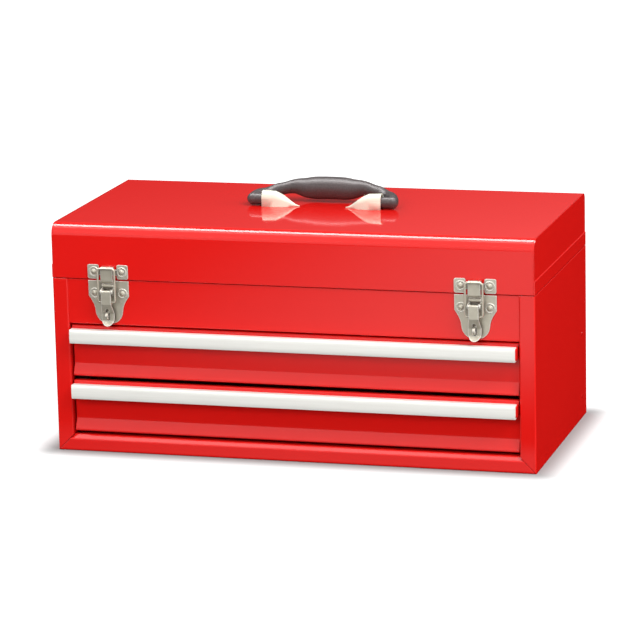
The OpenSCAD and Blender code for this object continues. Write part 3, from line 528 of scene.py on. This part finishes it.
settings = {"Palm Radius": PALM_RADIUS, "Neck Radius": NECK_RADIUS, "Palm Starts": PALM_STARTS,
            "Palm Ends": PALM_ENDS, "Cap Length": NECK_RADIUS, "Plastic": grip_plastic}
grip_mesh = run_tree(rod, "grip_bow", bow_points, chain(len(bow_points)), settings)
settings.update({"Palm Radius": STUB_RADIUS, "Neck Radius": STUB_RADIUS, "Cap Length": STUB_CAP})
stub_in = HOOD_TIP + STUB_STARTS
bm = bmesh.new()
bm.from_mesh(grip_mesh)
for side in (-1.0, 1.0):
    stub_points = [tipped(side * (stub_in + (GRIP_HALF - stub_in) * k / STUB_STEPS), 0.0)
                   for k in range(STUB_STEPS + 1)]
    bm.from_mesh(run_tree(rod, "grip_stub", stub_points, chain(len(stub_points)), settings))
bmesh.ops.recalc_face_normals(bm, faces=bm.faces)
bm.to_mesh(grip_mesh)
bm.free()
grip_mesh.shade_smooth()
grip = bpy.data.objects.new("moulded_grip", grip_mesh)
bpy.context.scene.collection.objects.link(grip)
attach(grip, "handle")
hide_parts("handle_grip")
print("grip:", len(grip_mesh.polygons), "faces")

# %% [markdown]
# The panels are joined by spot welds, and each weld leaves a shallow round mark under the paint.
# Such marks repeat, so Geometry Nodes stamp them: a few bare points say where the welds are,
# and the tree sets the same flattened sphere on each point and melts them into one mesh.

# %% A tree that stamps weld marks on points
MARK_SEGMENTS, MARK_RINGS = 20, 10


def weld_mark_tree():
    tree = bpy.data.node_groups.new("weld_marks", "GeometryNodeTree")
    face = tree.interface
    face.new_socket("Geometry", in_out="INPUT", socket_type="NodeSocketGeometry")
    face.new_socket("Mark Size", in_out="INPUT", socket_type="NodeSocketVector")
    face.new_socket("Paint", in_out="INPUT", socket_type="NodeSocketMaterial")
    face.new_socket("Geometry", in_out="OUTPUT", socket_type="NodeSocketGeometry")
    start = tree.nodes.new("NodeGroupInput")
    end = tree.nodes.new("NodeGroupOutput")
    ball = tree.nodes.new("GeometryNodeMeshUVSphere")
    ball.inputs["Segments"].default_value = MARK_SEGMENTS
    ball.inputs["Rings"].default_value = MARK_RINGS
    ball.inputs["Radius"].default_value = 1.0
    flatten = tree.nodes.new("GeometryNodeTransform")
    stamp = tree.nodes.new("GeometryNodeInstanceOnPoints")
    melt = tree.nodes.new("GeometryNodeRealizeInstances")
    paint = tree.nodes.new("GeometryNodeSetMaterial")
    join = tree.links.new
    join(ball.outputs["Mesh"], flatten.inputs["Geometry"])
    join(start.outputs["Mark Size"], flatten.inputs["Scale"])
    join(start.outputs["Geometry"], stamp.inputs["Points"])
    join(flatten.outputs["Geometry"], stamp.inputs["Instance"])
    join(stamp.outputs["Instances"], melt.inputs["Geometry"])
    join(melt.outputs["Geometry"], paint.inputs["Geometry"])
    join(start.outputs["Paint"], paint.inputs["Material"])
    join(paint.outputs["Geometry"], end.inputs["Geometry"])
    return tree


welds = weld_mark_tree()
print("tree:", welds.name, len(welds.nodes), "nodes")

# %% Weld marks on the sides and the back
def stamp_welds(tree, name, points, mark_size, body):
    mesh = run_tree(tree, name, points, [], {"Mark Size": mark_size, "Paint": red_enamel})
    mesh.shade_smooth()
    marks = bpy.data.objects.new(name, mesh)
    bpy.context.scene.collection.objects.link(marks)
    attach(marks, body)
    print("welds:", name, len(points), "marks,", len(mesh.polygons), "faces")


MARK_RADIUS = 2.4 * MM
MARK_HEIGHT = 0.09 * MM
SIDE_WELD_Y = 105.0 * MM
SIDE_WELD_Z = [24.0 * MM, 92.0 * MM]
BACK_WELD_INSET = 9.0 * MM
BACK_WELD_LOW, BACK_WELD_PITCH, BACK_WELD_COUNT = 26.0, 42.0, 4
BACK_WELD_Z = [(BACK_WELD_LOW + BACK_WELD_PITCH * k) * MM for k in range(BACK_WELD_COUNT)]
case_low, case_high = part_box("left_side_panel")[0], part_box("right_side_panel")[1]
back_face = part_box("back_panel")[1].y
side_points = [(x, SIDE_WELD_Y, z) for x in (case_low.x, case_high.x) for z in SIDE_WELD_Z]
back_weld_x = case_high.x - BACK_WELD_INSET
back_points = [(side * back_weld_x, back_face, z) for side in (-1, 1) for z in BACK_WELD_Z]
stamp_welds(welds, "side_weld_marks", side_points, (MARK_HEIGHT, MARK_RADIUS, MARK_RADIUS), "case")
stamp_welds(welds, "back_weld_marks", back_points, (MARK_RADIUS, MARK_HEIGHT, MARK_RADIUS), "case")

# %% [markdown]
# The picture was taken with a long lens from the front and a little from the right and above.
# The lens and the place of the camera were worked out from the corners of the box in the picture,
# so the chest fills the frame as it does there.

# %% Camera
PICTURE_SIDE = 640
FOCAL_PIXELS = 3504.19
SENSOR_MM = 36.0
CAMERA_PLACE = Vector((979.80, -3464.63, 943.15)) * MM
YAW, PITCH, ROLL = 0.2768, 0.2246, -0.022
ahead = Vector((-math.sin(YAW) * math.cos(PITCH), math.cos(YAW) * math.cos(PITCH), -math.sin(PITCH)))
level = Vector((math.cos(YAW), math.sin(YAW), 0.0))
upward = level.cross(ahead)
right = math.cos(ROLL) * level + math.sin(ROLL) * upward
top = -math.sin(ROLL) * level + math.cos(ROLL) * upward
camera_data = bpy.data.cameras.new("catalogue_camera")
camera_data.sensor_width = SENSOR_MM
camera_data.lens = FOCAL_PIXELS * SENSOR_MM / PICTURE_SIDE
camera = bpy.data.objects.new("catalogue_camera", camera_data)
turn = Matrix((right, top, -ahead)).transposed().to_4x4()
camera.matrix_world = Matrix.Translation(CAMERA_PLACE) @ turn
bpy.context.scene.collection.objects.link(camera)
bpy.context.scene.camera = camera
print("lens:", round(camera_data.lens, 1), "mm")

# %% [markdown]
# The floor is one wide sheet a hair below the chest, so that the two never share a plane.

# %% Floor
FLOOR_REACH = 14.0
FLOOR_DROP = 0.1 * MM
bm = bmesh.new()
bmesh.ops.create_grid(bm, x_segments=1, y_segments=1, size=FLOOR_REACH)
floor_mesh = bpy.data.meshes.new("studio_floor")
bm.to_mesh(floor_mesh)
bm.free()
floor_mesh.transform(Matrix.Translation((0.0, 0.0, -FLOOR_DROP)))
floor = bpy.data.objects.new("studio_floor", floor_mesh)
bpy.context.scene.collection.objects.link(floor)
print("floor:", FLOOR_REACH, "m to each side")

# %% [markdown]
# The floor is plain and pale, and the chest lays a soft shadow on it.
# What the camera sees of the floor is lifted to white away from the chest, as in a catalogue picture,
# but much less near the footprint, so a painted shadow band runs round the chest.
# Away from the chest, what the camera sees of the floor is lifted to white, as in a catalogue picture.
# How far a point lies from the footprint is the length of what is left of its place
# after half the width and half the depth are taken off, and nothing below zero is kept.

# %% What the camera sees of the floor
FLOOR_GREY = 0.25
FLOOR_LIFT_IN_SHADOW_BAND, FLOOR_LIFT_FAR = 0.10, 0.92
SHADOW_BAND_REACH = 0.037
floor_paint, tree, shader, place = start_finish(
    "floor_paint", Base_Color=(FLOOR_GREY, FLOOR_GREY, FLOOR_GREY, 1.0), Roughness=0.9,
    Specular_IOR_Level=0.0, Emission_Color=(1.0, 1.0, 1.0, 1.0))
path = tree.nodes.new("ShaderNodeLightPath")
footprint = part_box("right_side_panel")[1]
spot = place
for operation, limit in (("ABSOLUTE", (0.0, 0.0, 0.0)),
                         ("SUBTRACT", (footprint.x, footprint.y, 1.0)),
                         ("MAXIMUM", (0.0, 0.0, 0.0))):
    step = tree.nodes.new("ShaderNodeVectorMath")
    step.operation = operation
    step.inputs[1].default_value = limit
    tree.links.new(spot, step.inputs[0])
    spot = step.outputs["Vector"]
outside = tree.nodes.new("ShaderNodeVectorMath")
outside.operation = "LENGTH"
tree.links.new(spot, outside.inputs[0])
away = outside.outputs["Value"]
# The lift is low next to the footprint, a painted shadow band round the chest's base.
lift = add_ramp(tree, away, 0.0, SHADOW_BAND_REACH, FLOOR_LIFT_IN_SHADOW_BAND, FLOOR_LIFT_FAR)
seen = add_math(tree, "MULTIPLY", lift, path.outputs["Is Camera Ray"])
tree.links.new(seen, shader.inputs["Emission Strength"])
print("floor lift:", FLOOR_LIFT_IN_SHADOW_BAND, "to", FLOOR_LIFT_FAR)

# %% [markdown]
# Mirrors see another floor: a bright one before the chest, fading to dark on the left and behind,
# because glossy paint looks deep only where it has something dark to mirror.
# A strip close to the chest's foot is bright too, and lights the folds that look down.

# %% What mirrors see of the floor
MIRROR_FRONT, MIRROR_BACK = -0.78, -0.28
MIRROR_RIGHT, MIRROR_LEFT = 0.05, -0.50
MIRROR_FOOT = 0.45
FOOT_FAR, FOOT_FULL = -0.26, -0.18
FOOT_FADES, FOOT_ENDS = -0.14, -0.13
MIRROR_DIM, MIRROR_BRIGHT = 0.02, 1.05
split = tree.nodes.new("ShaderNodeSeparateXYZ")
tree.links.new(place, split.inputs["Vector"])
before = add_ramp(tree, split.outputs["Y"], MIRROR_BACK, MIRROR_FRONT, 0.0, 1.0)
foot = add_ramp(tree, split.outputs["Y"], FOOT_FAR, FOOT_FULL, 0.0, MIRROR_FOOT)
fade = add_ramp(tree, split.outputs["Y"], FOOT_FADES, FOOT_ENDS, 1.0, 0.0)
foot = add_math(tree, "MULTIPLY", foot, fade)
before = add_math(tree, "ADD", before, foot)
across = add_ramp(tree, split.outputs["X"], MIRROR_LEFT, MIRROR_RIGHT, MIRROR_DIM, MIRROR_BRIGHT)
mirrored = tree.nodes.new("ShaderNodeEmission")
tree.links.new(add_math(tree, "MULTIPLY", before, across), mirrored.inputs["Strength"])
in_mirror = add_math(tree, "MAXIMUM", path.outputs["Is Glossy Ray"], path.outputs["Is Transmission Ray"])
either = tree.nodes.new("ShaderNodeMixShader")
tree.links.new(in_mirror, either.inputs["Fac"])
tree.links.new(shader.outputs["BSDF"], either.inputs[1])
tree.links.new(mirrored.outputs["Emission"], either.inputs[2])
tree.links.new(either.outputs["Shader"], tree.nodes["Material Output"].inputs["Surface"])
floor_mesh.materials.append(floor_paint)
print("mirrored floor:", MIRROR_DIM, "to", MIRROR_BRIGHT)

# %% [markdown]
# A wide sky of soft light stands in for the walls and ceiling of the studio.
# It lights the chest from all round, and a little more from above.

# %% Light from the studio walls
SKY_SIDES, SKY_OVERHEAD = 0.44, 0.52
OVERHEAD_STARTS, OVERHEAD_FULL = 0.4, 0.95
world = bpy.data.worlds.new("studio_walls")
bpy.context.scene.world = world
world.use_nodes = True
tree = world.node_tree
sky = tree.nodes["Background"]
sky.inputs["Color"].default_value = (1.0, 1.0, 1.0, 1.0)
towards = tree.nodes.new("ShaderNodeTexCoord")
split = tree.nodes.new("ShaderNodeSeparateXYZ")
tree.links.new(towards.outputs["Generated"], split.inputs["Vector"])
overhead = add_ramp(tree, split.outputs["Z"], OVERHEAD_STARTS, OVERHEAD_FULL,
                    SKY_SIDES, SKY_SIDES + SKY_OVERHEAD)
print("sky:", SKY_SIDES, "and overhead", SKY_OVERHEAD, "more")

# %% [markdown]
# In mirrors the studio is bright in front and dark behind, with a glow that starts just over the horizon,
# so the top of the lid keeps its red and turns paler towards its front and its right end.
# Light Path's Is Glossy Ray chooses between the walls that light and the walls that are mirrored.

# %% What mirrors see of the walls
WALL_FRONT = 1.0
TURN_STARTS, TURN_ENDS = -0.1, 0.5
GLOW_LOW, GLOW_HIGH = 0.165, 0.225
GLOW_DARK, GLOW_LIGHT = 0.05, 0.24
SIDE_LEFT, SIDE_RIGHT = -0.36, -0.16
SIDE_DARK, SIDE_LIGHT = 0.55, 1.20
glow = add_ramp(tree, split.outputs["Z"], GLOW_LOW, GLOW_HIGH, GLOW_DARK, GLOW_LIGHT)
sideways = add_ramp(tree, split.outputs["X"], SIDE_LEFT, SIDE_RIGHT, SIDE_DARK, SIDE_LIGHT)
behind = add_math(tree, "MULTIPLY", glow, sideways)
turned = add_ramp(tree, split.outputs["Y"], TURN_STARTS, TURN_ENDS, 0.0, 1.0)
walls = tree.nodes.new("ShaderNodeMix")
walls.inputs["A"].default_value = WALL_FRONT
tree.links.new(turned, walls.inputs["Factor"])
tree.links.new(behind, walls.inputs["B"])
path = tree.nodes.new("ShaderNodeLightPath")
choose = tree.nodes.new("ShaderNodeMix")
tree.links.new(path.outputs["Is Glossy Ray"], choose.inputs["Factor"])
tree.links.new(overhead, choose.inputs["A"])
tree.links.new(walls.outputs["Result"], choose.inputs["B"])
tree.links.new(choose.outputs["Result"], sky.inputs["Strength"])
print("mirrored walls:", GLOW_DARK, "to", GLOW_LIGHT)

# %% [markdown]
# Four soft boxes shape the chest: a large one high on the right,
# and weaker ones beside, before and behind it.
# They are kept out of mirrors, where their square images would show on the lid.
# Two strips are there for their mirror images alone: the one overhead draws the bright line
# along the rounded front edge of the lid, and the other draws the paler bands on folds.

# %% Lamps
def soft_box(name, place, aim, width, height, power, mirror_only=False, in_mirrors=True):
    lamp = bpy.data.lights.new(name, "AREA")
    lamp.shape = "RECTANGLE"
    lamp.size = width
    lamp.size_y = height
    lamp.energy = power
    box = bpy.data.objects.new(name, lamp)
    look = (Vector(aim) - Vector(place)).to_track_quat("-Z", "Y")
    box.matrix_world = Matrix.Translation(place) @ look.to_matrix().to_4x4()
    box.visible_camera = False
    box.visible_diffuse = not mirror_only
    box.visible_glossy = in_mirrors
    bpy.context.scene.collection.objects.link(box)
    print("lamp:", name, power, "W")


CHEST_MIDDLE = (0.0, 0.0, 0.12)
soft_box("key_box", (1.8, -0.9, 2.4), CHEST_MIDDLE, 1.6, 1.6, 80.0, in_mirrors=False)
soft_box("side_box", (2.6, 0.2, 0.9), CHEST_MIDDLE, 1.2, 1.2, 20.0, in_mirrors=False)
soft_box("front_box", (-0.5, -2.5, 1.25), CHEST_MIDDLE, 1.4, 1.0, 33.0, in_mirrors=False)
soft_box("back_box", (-1.7, 1.9, 1.4), CHEST_MIDDLE, 1.4, 1.0, 30.0, in_mirrors=False)
soft_box("lid_strip", (-0.1, 0.12, 1.7), (-0.1, -0.125, 0.24), 3.0, 0.56, 82.0, mirror_only=True)
soft_box("fold_strip", (-0.2, -0.5, 1.7), (-0.2, -0.125, 0.10), 4.0, 0.40, 11.0, mirror_only=True)

# %% [markdown]
# The boxes of the CAD and of the dressed chest are written down, to show that the dress fits the frame.

# %% Colour
bpy.context.scene.view_settings.view_transform = "Standard"
